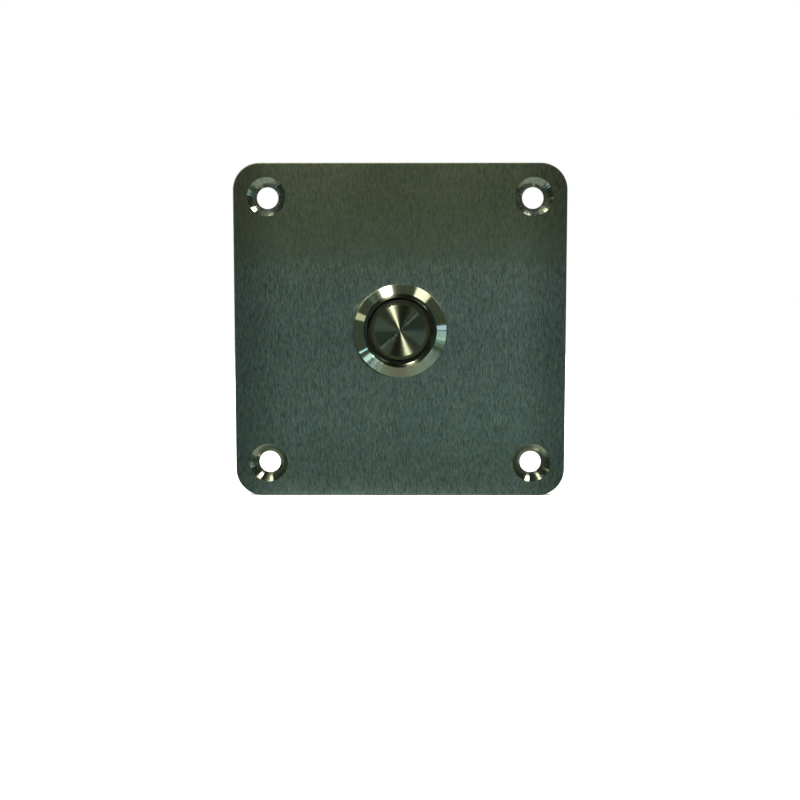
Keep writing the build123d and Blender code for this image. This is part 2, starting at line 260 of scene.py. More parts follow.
def spun_steel(ring_size, light, dark, rough, swing, depth, painted_sheen_direction=None):
    """Turned steel: fine rings round the axis, and faint rays where the cutter chattered.

    Given a direction, a painted sheen makes two opposite sectors lighter. The direction says
    where the middle of one lies, in degrees clockwise from the right as seen from the front.
    """
    ray_scale = 9.0
    sector_edge, sector_full = 0.80, 0.98       # squared cosine of the angle from its middle
    sector_share, sector_gain = 0.62, 1.9

    def build(nodes):
        spot = nodes.place((1, 1, 1))
        across, down, _ = nodes.axes(spot)
        flat = nodes.add("ShaderNodeCombineXYZ", values={"X": across, "Y": down})
        radius = nodes.add(
            "ShaderNodeVectorMath", {"operation": "LENGTH"}, {"Vector": flat}, output="Value"
        )
        unit = nodes.add("ShaderNodeVectorMath", {"operation": "NORMALIZE"}, {"Vector": flat})
        rings = nodes.add(
            "ShaderNodeTexNoise",
            {"noise_dimensions": "1D"},
            {"W": radius / ring_size, "Scale": 1.0, "Detail": 3.0},
        )
        spread = nodes.add(
            "ShaderNodeVectorMath", {"operation": "SCALE"}, {"Vector": unit, "Scale": ray_scale}
        )
        rays = nodes.noise(spread, 4)
        patch = nodes.grain((5, 5, 5), 3)
        tone = rings * 0.45 + rays * 0.4 + patch * 0.15
        colour = nodes.mix(tone.band(0.3, 0.7), dark, light)
        # Painted sheen: two opposite sectors of the turned surface are made lighter.
        if painted_sheen_direction:
            right, low, _ = nodes.axes(unit)
            facing = right * cos(radians(painted_sheen_direction)) + low * sin(radians(painted_sheen_direction))
            painted_sheen = (facing * facing).band(sector_edge, sector_full, 0.0, sector_share)
            colour = nodes.mix(painted_sheen, colour, [sector_gain * part for part in light])
        return {
            "Base Color": colour,
            "Roughness": rough + (rings - 0.5) * swing + (rays - 0.5) * swing,
            "Normal": nodes.bump(rings, depth, 0.4),
        }
    return build


def plain_metal(light, dark, rough, swing, grain_size, depth, stain=None):
    """Stamped, drawn or plated metal with small pits, blotches and rubbed or stained spots."""
    blotch_size = [9 * size for size in grain_size]

    def build(nodes):
        fine = nodes.grain(grain_size, 4)
        blotch = nodes.grain(blotch_size, 3)
        colour = nodes.mix((fine * 0.5 + blotch * 0.5).band(0.3, 0.7), dark, light)
        if stain:
            spots = nodes.grain((2.5, 2.5, 2.5), 4).band(0.52, 0.78, 0.0, 0.55)
            colour = nodes.mix(spots, colour, stain)
        return {
            "Base Color": colour,
            "Roughness": rough + (fine - 0.5) * swing + (blotch - 0.5) * swing,
            "Normal": nodes.bump(fine, depth, 0.5),
        }
    return build


def blasted_steel(nodes):
    """The dull dark shoulder at the button's edge: fine grit marks, and painted shade darker
    towards the top.
    """
    grit = nodes.grain((0.07, 0.07, 0.07), 2)
    patch = nodes.grain((0.8, 0.8, 0.8), 3)
    _, down, _ = nodes.axes(nodes.place((1, 1, 1)))
    colour = nodes.mix(grit * 0.6 + patch * 0.4, (0.008, 0.011, 0.0063), (0.014, 0.0185, 0.011))
    # Painted shade: the shoulder is darker towards the top.
    colour = nodes.mix(down.band(-BUTTON_RADIUS, 4, 0.5, 0.0), colour, (0.003, 0.0045, 0.0025))
    relief = nodes.bump(grit, 0.003, 0.3)
    return {"Base Color": colour, "Roughness": 0.40 + patch * 0.06, "Normal": relief}


def rubber(nodes):
    fine = nodes.grain((0.12, 0.12, 0.12), 3)
    bloom = nodes.grain((1.8, 1.8, 1.8), 3).band(0.45, 0.8)
    colour = nodes.mix(bloom, (0.0025, 0.003, 0.0024), (0.007, 0.008, 0.0065))
    rough = 0.42 + bloom * 0.22 + fine * 0.1
    return {"Base Color": colour, "Roughness": rough, "Normal": nodes.bump(fine, 0.01, 0.4)}


def grained_moulding(nodes):
    """Black moulded plastic with a spark eroded grain and paler rubbed spots."""
    pores = nodes.grain((0.16, 0.16, 0.16), 3)
    flow = nodes.grain((3.5, 7, 3.5), 3)
    dust = nodes.grain((0.5, 0.5, 0.5), 2).band(0.66, 0.80)
    colour = nodes.mix(flow, (0.017, 0.018, 0.020), (0.034, 0.035, 0.037))
    colour = nodes.mix(dust * 0.3, colour, (0.13, 0.125, 0.115))
    return {
        "Base Color": colour,
        "Roughness": 0.44 + pores * 0.16 + flow * 0.08,
        "Normal": nodes.bump(pores, 0.02, 0.6),
    }


def white_plastic(nodes):
    flow = nodes.grain((2.2, 4.0, 2.2), 3)
    fine = nodes.grain((0.12, 0.12, 0.12), 2)
    colour = nodes.mix(flow, (0.70, 0.69, 0.63), (0.83, 0.82, 0.77))
    relief = nodes.bump(fine, 0.008, 0.4)
    return {"Base Color": colour, "Roughness": 0.38 + fine * 0.12, "Normal": relief}


def pale_floor(nodes):
    haze = nodes.grain((90, 90, 90), 3)
    fine = nodes.grain((1.5, 1.5, 1.5), 2)
    colour = nodes.mix(haze, (0.86, 0.86, 0.85), (0.90, 0.90, 0.89))
    relief = nodes.bump(fine, 0.02, 0.3)
    return {"Base Color": colour, "Roughness": 0.7 + fine * 0.1, "Normal": relief}


FINISHES = {
    "plate_steel": metal("upright_brushed_steel", brushed_plate, Anisotropic=1.0),
    "sink_steel": turned_metal(
        "countersunk_steel",
        spun_steel(0.22, (0.60, 0.61, 0.55), (0.42, 0.43, 0.37), 0.13, 0.06, 0.008),
        anisotropic=0.95,
    ),
    # Painted shade: the plate's rounded edges and sides are coloured far darker than the plate, so
    # they show no highlight.
    "shaded_edge_steel": metal(
        "painted_shade_edge_metal",
        plain_metal((0.085, 0.092, 0.075), (0.045, 0.05, 0.04), 0.55, 0.10, (0.2, 0.2, 0.4), 0.008),
    ),
    "bevel_steel": turned_metal(
        "spun_bright_steel",
        spun_steel(0.16, (0.72, 0.73, 0.67), (0.55, 0.56, 0.50), 0.135, 0.04, 0.003),
    ),
    # The button's face has a painted sheen in two opposite sectors.
    "button_steel": turned_metal(
        "spun_button_steel",
        spun_steel(0.14, (0.245, 0.25, 0.21), (0.135, 0.145, 0.12), 0.21, 0.03, 0.003, painted_sheen_direction=17),
    ),
    "land_steel": turned_metal(
        "spun_dark_steel",
        spun_steel(0.14, (0.148, 0.157, 0.126), (0.087, 0.094, 0.074), 0.21, 0.03, 0.003),
    ),
    "blasted_steel": surface(
        "grit_blasted_steel", blasted_steel,
        Metallic=0.15, Specular_IOR_Level=0.02, Anisotropic=1.0, Anisotropic_Rotation=0.25,
    ),
    "thread_steel": metal(
        "cut_thread_steel",
        plain_metal((0.60, 0.59, 0.56), (0.40, 0.39, 0.37), 0.26, 0.12, (0.25, 0.25, 0.12), 0.008),
    ),
    "black_rubber": surface("seal_rubber", rubber, Specular_IOR_Level=0.16),
    "plain_steel": metal(
        "stamped_steel",
        plain_metal((0.60, 0.60, 0.58), (0.42, 0.42, 0.41), 0.34, 0.14, (0.3, 0.3, 0.3), 0.01),
    ),
    "nickel_plate": metal(
        "nickel_plating",
        plain_metal(
            (0.72, 0.69, 0.62), (0.56, 0.53, 0.47), 0.25, 0.12, (0.35, 0.35, 0.35), 0.008,
            stain=(0.45, 0.40, 0.31),
        ),
    ),
    "spring_steel": metal(
        "drawn_spring_wire",
        plain_metal((0.56, 0.56, 0.55), (0.36, 0.36, 0.35), 0.28, 0.12, (0.15, 0.15, 0.15), 0.006),
    ),
    "blued_steel": metal(
        "dark_oiled_steel",
        plain_metal(
            (0.105, 0.105, 0.115), (0.05, 0.05, 0.058), 0.34, 0.16, (0.25, 0.25, 0.25), 0.01,
            stain=(0.12, 0.075, 0.05),
        ),
    ),
    "white_nylon": surface(
        "white_nylon", white_plastic, Subsurface_Weight=0.1, Subsurface_Scale=0.001
    ),
    "contact_brass": metal(
        "stamped_brass",
        plain_metal(
            (0.80, 0.58, 0.25), (0.62, 0.42, 0.16), 0.26, 0.14, (0.3, 0.3, 0.3), 0.008,
            stain=(0.42, 0.25, 0.11),
        ),
    ),
    "contact_silver": metal(
        "silver_contact",
        plain_metal(
            (0.88, 0.87, 0.83), (0.66, 0.65, 0.60), 0.24, 0.12, (0.2, 0.2, 0.2), 0.006,
            stain=(0.40, 0.36, 0.29),
        ),
    ),
    "zinc_steel": metal(
        "zinc_plating",
        plain_metal(
            (0.68, 0.70, 0.73), (0.50, 0.52, 0.55), 0.28, 0.14, (0.25, 0.25, 0.25), 0.008,
            stain=(0.62, 0.58, 0.46),
        ),
    ),
    "black_moulding": surface("grained_black_moulding", grained_moulding, Specular_IOR_Level=0.45),
}


# Shapes

EASE_STEPS = 4


def eased(outline, radius):
    """A closed outline with its corners rounded. Points on the axis stay as they are."""
    longest = 0.45      # of a side, so that two neighbouring corners don't meet
    result = []
    count = len(outline)
    for index, corner in enumerate(outline):
        here = Vector(corner)
        before = Vector(outline[index - 1]) - here
        after = Vector(outline[(index + 1) % count]) - here
        if here.x < 1e-6:
            result.append(tuple(here))
            continue
        reach = min(radius, longest * before.length, longest * after.length)
        start = here + before.normalized() * reach
        end = here + after.normalized() * reach
        for step in range(EASE_STEPS + 1):
            t = step / EASE_STEPS
            result.append(tuple(start * (1 - t) ** 2 + here * 2 * t * (1 - t) + end * t**2))
    return result


def circle(radius, count, centre=(0, 0)):
    angles = [2 * pi * i / count for i in range(count)]
    return [(centre[0] + radius * cos(a), centre[1] + radius * sin(a)) for a in angles]


def around_axis(radius, angle, place):
    """A point of a turned mesh, in metres: its local Z is the axis."""
    return radius * cos(angle) * MM, radius * sin(angle) * MM, place * MM


def rounded_square(half_x, half_z, radius, steps):
    """An outline with round corners, counted round from the right hand side."""
    points = []
    for quarter, (x, z) in enumerate([(1, 1), (-1, 1), (-1, -1), (1, -1)]):
        for step in range(steps + 1):
            angle = (quarter + step / steps) * pi / 2
            across = x * (half_x - radius) + radius * cos(angle)
            up = z * (half_z - radius) + radius * sin(angle)
            points.append((across, up))
    return points


def strip_faces(mesh, near, far):
    """Faces between two rings of points; a ring of one point is the tip of a cone."""
    if len(near) == len(far) == 1:
        return
    count = max(len(near), len(far))
    for i in range(count):
        j = (i + 1) % count
        corners = [near[i % len(near)], near[j % len(near)], far[j % len(far)], far[i % len(far)]]
        mesh.faces.new(list(dict.fromkeys(corners)))


def turned_mesh(outline, count=144, close=True):
    """A mesh turned round local Z from (radius, place) points."""
    mesh = bmesh.new()
    rings = []
    for radius, place in outline:
        spread = circle(radius, count) if radius > 1e-6 else [(0, 0)]
        rings.append([mesh.verts.new((x * MM, y * MM, place * MM)) for x, y in spread])
    for near, far in zip(rings, rings[1:] + rings[:1] if close else rings[1:]):
        strip_faces(mesh, near, far)
    return mesh


def slab_mesh(loops, front, rear, spot=lambda u, v, w: (u, w, v)):
    """A sheet with holes: the first loop is its edge, the others are holes.

    front and rear are its two faces along Y, or along the axis that spot gives them.
    """
    mesh = bmesh.new()
    for level in (front, rear):
        edges = []
        for loop in loops:
            ring = [mesh.verts.new(Vector(spot(u, v, level)) * MM) for u, v in loop]
            edges += [mesh.edges.new(pair) for pair in zip(ring, ring[1:] + ring[:1])]
        if len(loops) > 1:
            bmesh.ops.triangle_fill(mesh, use_beauty=True, edges=edges)
        else:
            mesh.faces.new(ring)
    mesh.verts.ensure_lookup_table()
    half = len(mesh.verts) // 2
    start = 0
    for loop in loops:
        near = [mesh.verts[start + i] for i in range(len(loop))]
        far = [mesh.verts[half + start + i] for i in range(len(loop))]
        strip_faces(mesh, near, far)
        start += len(loop)
    return mesh


def block_object(x_range, y_range, z_range):
    """A loose box, to be cut out of another piece or joined to it."""
    mesh = bmesh.new()
    bmesh.ops.create_cube(mesh, size=1.0)
    for vert in mesh.verts:
        vert.co = [
            ((low + high) / 2 + place * (high - low)) * MM
            for place, (low, high) in zip(vert.co, (x_range, y_range, z_range))
        ]
    return loose_object("cutter", mesh)


def loose_object(name, mesh, matrix=None):
    """An object of its own from a mesh that is finished."""
    bmesh.ops.recalc_face_normals(mesh, faces=mesh.faces)
    data = bpy.data.meshes.new(name)
    mesh.to_mesh(data)
    mesh.free()
    piece = bpy.data.objects.new(name, data)
    bpy.context.scene.collection.objects.link(piece)
    if matrix is not None:
        piece.matrix_world = matrix
    return piece


def turned_object(name, outline, count=144, x=0, z=0):
    """An object turned round an axis along Y, which lies at x and z."""
    place = Matrix.Translation((x * MM, 0, z * MM))
    return loose_object(name, turned_mesh(outline, count), place @ TURN_TO_AXIS)


def settle(piece):
    """Turn a piece's modifiers into plain mesh."""
    depsgraph = bpy.context.evaluated_depsgraph_get()
    data = bpy.data.meshes.new_from_object(
        piece.evaluated_get(depsgraph), preserve_all_data_layers=True, depsgraph=depsgraph
    )
    piece.modifiers.clear()
    piece.data = data


def carve(piece, cutters, operation="DIFFERENCE"):
    """Cut the cutters out of the piece, or join them to it, and delete them."""
    for cutter in cutters:
        tool = piece.modifiers.new("cut", "BOOLEAN")
        tool.object = cutter
        tool.operation = operation
        tool.solver = "EXACT"
    settle(piece)
    for cutter in cutters:
        bpy.data.objects.remove(cutter)


def dress(piece, body, slot, finish=None, replaces=(), ease=0.0, ease_steps=2, crease=34):
    """Ease the edges, smooth the shading, give the finish and hang the piece on its body."""
    if ease:
        bevel = piece.modifiers.new("ease", "BEVEL")
        bevel.width = ease * MM
        bevel.segments = ease_steps
        bevel.limit_method = "ANGLE"
        bevel.angle_limit = radians(30)
        settle(piece)
    piece.data.shade_smooth()
    piece.data.set_sharp_from_angle(angle=radians(crease))
    weigh = piece.modifiers.new("weigh", "WEIGHTED_NORMAL")
    weigh.keep_sharp = True
    settle(piece)
    piece.data.materials.clear()
    piece.data.materials.append(FINISHES[finish or slot])
    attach(piece, body)
    if replaces:
        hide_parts(*replaces)


# Face plate

def make_plate():
    """The plate: rounded front edge, openings for the sunk rings, and the hole for the switch."""
    mesh = bmesh.new()

    def ring(points, place):
        return [mesh.verts.new((u * MM, place * MM, v * MM)) for u, v in points]

    def square_ring(inset, place):
        half = PLATE_HALF - inset
        return ring(rounded_square(half, half, PLATE_CORNER - inset, 20), place)

    def edges_of(points):
        found = []
        for pair in zip(points, points[1:] + points[:1]):
            found.append(mesh.edges.get(pair) or mesh.edges.new(pair))
        return found

    edge_radius, edge_steps = 0.3, 8
    rear_chamfer = 0.12
    levels = []
    for step in range(edge_steps + 1):
        angle = step / edge_steps * pi / 2
        inset = edge_radius * (1 - sin(angle))
        levels.append(square_ring(inset, PLATE_FRONT + edge_radius * (1 - cos(angle))))
    levels.append(square_ring(0, -rear_chamfer))
    levels.append(square_ring(rear_chamfer, 0))
    for near, far in zip(levels, levels[1:]):
        strip_faces(mesh, near, far)
    front, rear = edges_of(levels[0]), edges_of(levels[-1])
    fixing_hole = [
        (SINK_RADIUS, PLATE_FRONT), (SINK_RADIUS, SINK_FLOOR), (HOLE_RADIUS, SINK_FLOOR),
        (HOLE_RADIUS, -0.1), (HOLE_RADIUS + 0.1, 0),
    ]
    switch_hole = [(12.7, PLATE_FRONT), (12.7, -0.1), (12.8, 0)]
    openings = [(centre, fixing_hole) for centre in FIXING_PLACES.values()]
    for centre, steps in [*openings, ((0, 0), switch_hole)]:
        rings = [ring(circle(radius, 96, centre), place) for radius, place in steps]
        for near, far in zip(rings, rings[1:]):
            strip_faces(mesh, near, far)
        front += edges_of(rings[0])
        rear += edges_of(rings[-1])
    bmesh.ops.triangle_fill(mesh, use_beauty=True, edges=front)
    bmesh.ops.triangle_fill(mesh, use_beauty=True, edges=rear)
    plate = loose_object("plate", mesh)
    dress(plate, "housing", "plate_steel", replaces=["face_plate"])
    # The rounded edges and sides take the dark finish of painted shade.
    plate.data.materials.append(FINISHES["shaded_edge_steel"])
    for face in plate.data.polygons:
        if PLATE_FRONT + 0.001 < face.center.y / MM < -0.001:
            face.material_index = 1


def make_countersinks():
    """Turned rings in the plate's openings. Each cone is bowed a little towards its opening."""
    depth = SINK_FLOOR - PLATE_FRONT
    steps, bow = 6, 0.05
    cone = []
    for step in range(steps + 1):
        run = depth * step / steps
        dip = bow * sin(pi * step / steps)
        cone.append((SINK_RADIUS - run - dip, PLATE_FRONT + run - dip))
    cone.append((SINK_RADIUS, SINK_FLOOR))
    for name, (x, z) in FIXING_PLACES.items():
        sink = turned_object(f"countersink_{name}", cone, 128, x, z)
        dress(sink, "housing", "plate_steel", "sink_steel")


# Turned pieces of the switch

def make_bezel():
    """Bezel, bores and the barrel with its 25 mm thread, in one piece."""
    count = 160
    pitch, depth, start, run_out = 1.0, 0.6, 0.4, 1.2
    crest_radius, end_radius = 12.48, 11.72
    land_radius = 11
    corner_points = EASE_STEPS + 1
    front = eased(
        [
            (BARREL_RADIUS, GASKET_FRONT), (14, GASKET_FRONT), (14, -4.3), (land_radius, CREST),
            (10.05, CREST), (9.9, -5.75), (9.9, RECESS_FLOOR), (BORE_RADIUS, RECESS_FLOOR),
            (BORE_RADIUS, SPRING_SEAT), (4.08, SPRING_SEAT), (4.08, 7.5), (10, 7.5),
            (10, BARREL_END), (end_radius, BARREL_END), (BARREL_RADIUS, start),
        ],
        0.12,
    )
    # The last two corners give way to the thread.
    outline = [(crest_radius, start), *front[:-2 * corner_points], (end_radius, BARREL_END)]
    mesh = turned_mesh(outline, count, close=False)
    profile = [0.0, 0.0, 0.5, 1.0, 1.0, 1.0, 0.5, 0.0]      # one rib: 0 is its crest, 1 its root
    rows = int(ceil((BARREL_END - start) / pitch) + 2) * len(profile)
    columns = []
    for i in range(count + 1):
        column = []
        for j in range(rows + 1):
            place = start - pitch + (j / len(profile) + i / count) * pitch
            place = min(max(place, start), BARREL_END)
            fade = min(1, (place - start) / run_out)
            radius = crest_radius - depth * profile[j % len(profile)] * fade
            radius = min(radius, end_radius + (BARREL_END - place))
            column.append(mesh.verts.new(around_axis(radius, 2 * pi * i / count, place)))
        columns.append(column)
    for left, right in zip(columns, columns[1:]):
        for j in range(rows):
            mesh.faces.new((left[j], right[j], right[j + 1], left[j + 1]))
    bmesh.ops.remove_doubles(mesh, verts=mesh.verts, dist=1e-6)
    bmesh.ops.dissolve_degenerate(mesh, dist=1e-7, edges=mesh.edges)
    bezel = loose_object("bezel_and_barrel", mesh, TURN_TO_AXIS)
    keyway = block_object((-1.6, 1.6), (18.42, BARREL_END + 0.1), (9.0, 13.5))
    carve(bezel, [keyway])
    dress(bezel, "housing", "turned_steel", "bevel_steel", ["bezel_barrel"], crease=40)
    bezel.data.materials.append(FINISHES["thread_steel"])
    bezel.data.materials.append(FINISHES["land_steel"])
    for face in bezel.data.polygons:
        if face.center.z > (GASKET_FRONT + 0.1) * MM:
            face.material_index = 1
        elif hypot(face.center.x, face.center.y) < (land_radius - 0.02) * MM:
            face.material_index = 2


def make_button():
    """Button with its sloping shoulder, seal groove, skirt and the stem for clip and plunger."""
    face_radius, shoulder_end = 7.7, -5.2
    outline = eased(
        [
            (0, BUTTON_FACE), (face_radius, BUTTON_FACE), (BUTTON_RADIUS, -5.35),
            (BUTTON_RADIUS, -2.0), (7.75, -2.0), (7.75, -0.4), (BUTTON_RADIUS, -0.4),
            (BUTTON_RADIUS, 2.45), (6.9, 2.45), (6.9, -2.5), (4.0, -2.5), (4.0, 7.5), (3.2, 7.5),
            (3.2, 8.4), (4.0, 8.4), (4.0, 9.2), (2.5, 9.2), (2.5, 11.5), (0, 11.5),
        ],
        0.1,
    )
    button = turned_object("push_button", outline, 192)
    dress(button, "button", "turned_steel", "button_steel", ["button"], crease=40)
    button.data.materials.append(FINISHES["blasted_steel"])
    for face in button.data.polygons:
        beside = hypot(face.center.x, face.center.y) > face_radius * MM
        if beside and face.center.z < shoulder_end * MM:
            face.material_index = 1


def make_seals():
    """Wiper in the recess, gasket under the bezel, and the ring in the button's groove."""
    wiper = eased(
        [
            (BORE_RADIUS, RECESS_FLOOR), (9.85, RECESS_FLOOR), (9.85, -4.4), (9.48, -4.4),
            (9.13, -4.75), (BORE_RADIUS, -4.75),
        ],
        0.14,
    )
    piece = turned_object("wiper_seal", wiper)
    dress(piece, "housing", "black_rubber", replaces=["wiper_ring"])

    # The gasket reaches out past the bezel's edge on one side, at the lower left.
    bulge, bulge_direction, bulge_from = 0.045, radians(222), 13.2
    inner, outer = 12.6, 13.7
    gasket = eased(
        [(inner, GASKET_FRONT), (outer, GASKET_FRONT), (outer, PLATE_FRONT), (inner, PLATE_FRONT)],
        0.12,
    )
    mesh = turned_mesh(gasket)
    for vert in mesh.verts:
        if vert.co.xy.length > bulge_from * MM:
            facing = max(0, cos(atan2(-vert.co.y, vert.co.x) - bulge_direction))
            vert.co.xy *= 1 + bulge * facing**1.5
    piece = loose_object("bezel_gasket", mesh, TURN_TO_AXIS)
    dress(piece, "housing", "black_rubber", replaces=["flange_gasket"])

    cord_radius = 0.495
    o_ring = [(8.265 + cord_radius * u, -1.2 + cord_radius * v) for u, v in circle(1, 20)]
    piece = turned_object("button_seal", o_ring)
    dress(piece, "button", "black_rubber", replaces=["button_o_ring"])


# Fastening behind the plate

def make_nut():
    """Hexagon with a chamfered rear, eased edges and a countersunk bore."""
    count, flat, bore = 192, 15.0, 12.55
    chamfer_radius = 16.6
    front_lead, rear_lead, rear_ease = 0.5, 0.8, 0.15

    def hexagon(angle):
        return flat / cos(angle % (pi / 3) - pi / 6)

    mesh = bmesh.new()

    def ring(radius_of, place_of):
        angles = [2 * pi * i / count for i in range(count)]
        return [mesh.verts.new(around_axis(radius_of(a), a, place_of(a))) for a in angles]

    slope = tan(radians(30))
    levels = [
        ring(lambda a: bore + front_lead, lambda a: NUT_FRONT),
        ring(lambda a: min(hexagon(a), chamfer_radius), lambda a: NUT_FRONT),
        ring(hexagon, lambda a: NUT_FRONT + max(0, hexagon(a) - chamfer_radius) * slope),
        ring(hexagon, lambda a: NUT_REAR - (hexagon(a) - flat + rear_ease) * slope),
        ring(lambda a: flat - rear_ease, lambda a: NUT_REAR),
        ring(lambda a: bore + rear_lead, lambda a: NUT_REAR),
        ring(lambda a: bore, lambda a: NUT_REAR - rear_lead),
        ring(lambda a: bore, lambda a: NUT_FRONT + front_lead),
    ]
    for near, far in zip(levels, levels[1:] + levels[:1]):
        strip_faces(mesh, near, far)
    bmesh.ops.remove_doubles(mesh, verts=mesh.verts, dist=1e-7)
    nut = loose_object("mounting_hex_nut", mesh, TURN_TO_AXIS)
    dress(nut, "housing", "nickel_plate", replaces=["mounting_nut"], ease=0.1)


def make_washer():
    """Toothed washer: a flat band with teeth twisted out of its plane."""
    middle, half = 0.702, 0.3
    inner, outer = 12.6, 14.2
    front, rear = middle - half, middle + half
    band = eased([(inner, front), (outer, front), (outer, rear), (inner, rear)], 0.06)
    mesh = turned_mesh(band)
    teeth = 18
    tooth_place, tooth_length, tooth_width, tip_share = 14.55, 1.9, 1.8, 0.82
    twist = Matrix.Rotation(radians(25), 4, "X")
    for index in range(teeth):
        turn = Matrix.Rotation(index * 2 * pi / teeth, 4, "Z")
        tooth = bmesh.ops.create_cube(mesh, size=1.0)["verts"]
        for vert in tooth:
            taper = 1.0 if vert.co.x < 0 else tip_share
            spot = twist @ Vector((0, vert.co.y * tooth_width * taper, vert.co.z * 2 * half))
            spot += Vector((tooth_place + vert.co.x * tooth_length, 0, middle))
            vert.co = turn @ (spot * MM)
    washer = loose_object("toothed_washer", mesh, TURN_TO_AXIS)
    dress(washer, "housing", "plain_steel", replaces=["lock_washer"], ease=0.05, ease_steps=1)


# Contact block

def make_base():
    """Round moulding with a barrier between its two screw chambers, and a key on its neck."""
    neck, rim = 9.9, 10.2
    outline = [
        (8.4, 9.0), (9.4, 9.0), (neck, 10.5), (neck, 16.02), (rim, 16.32), (rim, 16.72),
        (neck, 17.02), (neck, BARREL_END), (12, BARREL_END), (12, BASE_REAR), (0, BASE_REAR),
        (0, 21.42), (8.4, 21.42),
    ]
    base = turned_object("contact_block", outline, 128)
    key = block_object((-1.5, 1.5), (18.52, BARREL_END + 0.5), (9.6, 11.9))
    carve(base, [key], "UNION")
    cutters = []
    for side in SIDES.values():
        chamber = sorted((side * 0.7, side * 8.8))
        cutters.append(block_object(chamber, (TERMINAL_SEAT, 40), (-20, 20)))
        strip_slot = sorted((side * 7.25, side * 8.06))
        cutters.append(block_object(strip_slot, (20, 28), (-2.1, 2.1)))
        screw_hole = [(0, 23.07), (1.55, 23.07), (1.55, 28), (0, 28)]
        cutters.append(turned_object("cutter", screw_hole, 48, side * SCREW_OFFSET))
    plunger_pocket = [(0, 20), (2.3, 20), (2.3, 22.6), (2.15, 22.75), (0, 22.75)]
    cutters.append(turned_object("cutter", plunger_pocket, 64))
    carve(base, cutters)
    dress(base, "housing", "black_moulding", replaces=["base_body"], ease=0.15)


def make_terminal(name, side):
    """Brass strip folded through the base, its pad, the clamp washer and the screw."""
    axis = side * SCREW_OFFSET
    bend_radius, bend_centre = 0.7, 7.26
    bend = [(bend_radius * cos(a * pi / 16), bend_radius * sin(a * pi / 16)) for a in range(9)]
    top = [(bend_centre + u, 26.92 + v) for u, v in bend]
    low = [(bend_centre + v, 21.52 - u) for u, v in bend]
    profile = [
        *low, *top, (2.2, CLAMP_FRONT), (2.2, TERMINAL_SEAT), (7.36, TERMINAL_SEAT),
        (7.36, 21.42), (3.8, 21.42), (3.8, 20.82),
    ]
    folded = slab_mesh([[(side * u, v) for u, v in profile]], -2, 2, lambda u, v, w: (u, v, w))
    strip = loose_object(f"terminal_strip_{name}", folded)
    pad = [(side * (u + 4.78), v) for u, v in rounded_square(2.58, 2.8, 0.3, 6)]
    hole = circle(1.55, 48, (axis, 0))
    carve(strip, [loose_object("cutter", slab_mesh([pad], TERMINAL_SEAT, CLAMP_FRONT))], "UNION")
    drill = slab_mesh([hole], TERMINAL_SEAT - 1, CLAMP_FRONT + 1)
    carve(strip, [loose_object("cutter", drill)])
    dress(strip, "housing", "contact_brass", replaces=[f"terminal_{name}"], ease=0.06)

    outline = [(axis + u, v) for u, v in rounded_square(2.8, 2.8, 0.5, 8)]
    square = slab_mesh([outline, hole], CLAMP_FRONT, CLAMP_REAR)
    clamp = loose_object(f"clamp_washer_{name}", square)
    dress(clamp, "housing", "zinc_steel", replaces=[f"clamp_{name}"], ease=0.1)

    head_radius, dome_height = 2.6, 1.0
    dome = [
        (head_radius * sin(k * pi / 16), SCREW_TOP - dome_height + dome_height * cos(k * pi / 16))
        for k in range(9)
    ]
    outline = [
        *dome, (head_radius, CLAMP_REAR + 0.12), (2.48, CLAMP_REAR), (1.5, CLAMP_REAR),
        (1.5, 23.42), (1.2, 23.12), (0, 23.12),
    ]
    screw = turned_object(f"clamp_screw_{name}", outline, 72, axis)
    drive_depth, half_slot = 1.1, 0.4
    drive_floor = SCREW_TOP - drive_depth
    drive = [
        block_object((axis - 3.2, axis + 3.2), (drive_floor, 33), (-half_slot, half_slot)),
        block_object((axis - half_slot, axis + half_slot), (drive_floor - 0.01, 33), (-1.5, 1.5)),
    ]
    carve(screw, drive)
    dress(screw, "housing", "zinc_steel", replaces=[f"terminal_screw_{name}"], ease=0.05)


def spring_mesh(wire, mean_radius, front, rear, coils):
    """Coiled wire whose end turns lie closed and are ground flat."""
    steps_per_turn, around = 44, 14
    closed = 0.8            # turns at each end
    count = int(coils * steps_per_turn)
    mesh = bmesh.new()
    rings = []
    end_inset, end_rise = wire * 0.3, wire * 0.25
    low, high = front + end_inset, rear - end_inset
    for i in range(count + 1):
        turns = i / count * coils
        inner = min(max((turns - closed) / (coils - 2 * closed), 0), 1)
        rise = min(turns, closed) - closed + max(turns - coils + closed, 0)
        place = low + (high - low) * inner + end_rise * rise
        ring = []
        for u, v in circle(wire / 2, around):
            ground = min(max(place + v, front), rear)
            ring.append(mesh.verts.new(around_axis(mean_radius + u, 2 * pi * turns, ground)))
        rings.append(ring)
    for near, far in zip(rings, rings[1:]):
        strip_faces(mesh, near, far)
    mesh.faces.new(rings[0])
    mesh.faces.new(rings[-1])
    return mesh


def make_springs():
    coil = spring_mesh(0.7, 5.7, -2.48, SPRING_SEAT, 5.5)
    piece = loose_object("button_spring", coil, TURN_TO_AXIS)
    dress(piece, "housing", "spring_steel", replaces=["return_spring"])
    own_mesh(piece)
    coil = spring_mesh(0.35, 2.4, 13.0, 17.18, 6)
    piece = loose_object("bridge_spring", coil, TURN_TO_AXIS)
    dress(piece, "button", "spring_steel", replaces=["contact_spring"])
    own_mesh(piece)


make_plate()
make_countersinks()
make_bezel()
make_button()
make_seals()
make_nut()
make_washer()
make_base()
for name, side in SIDES.items():
    make_terminal(name, side)
make_springs()

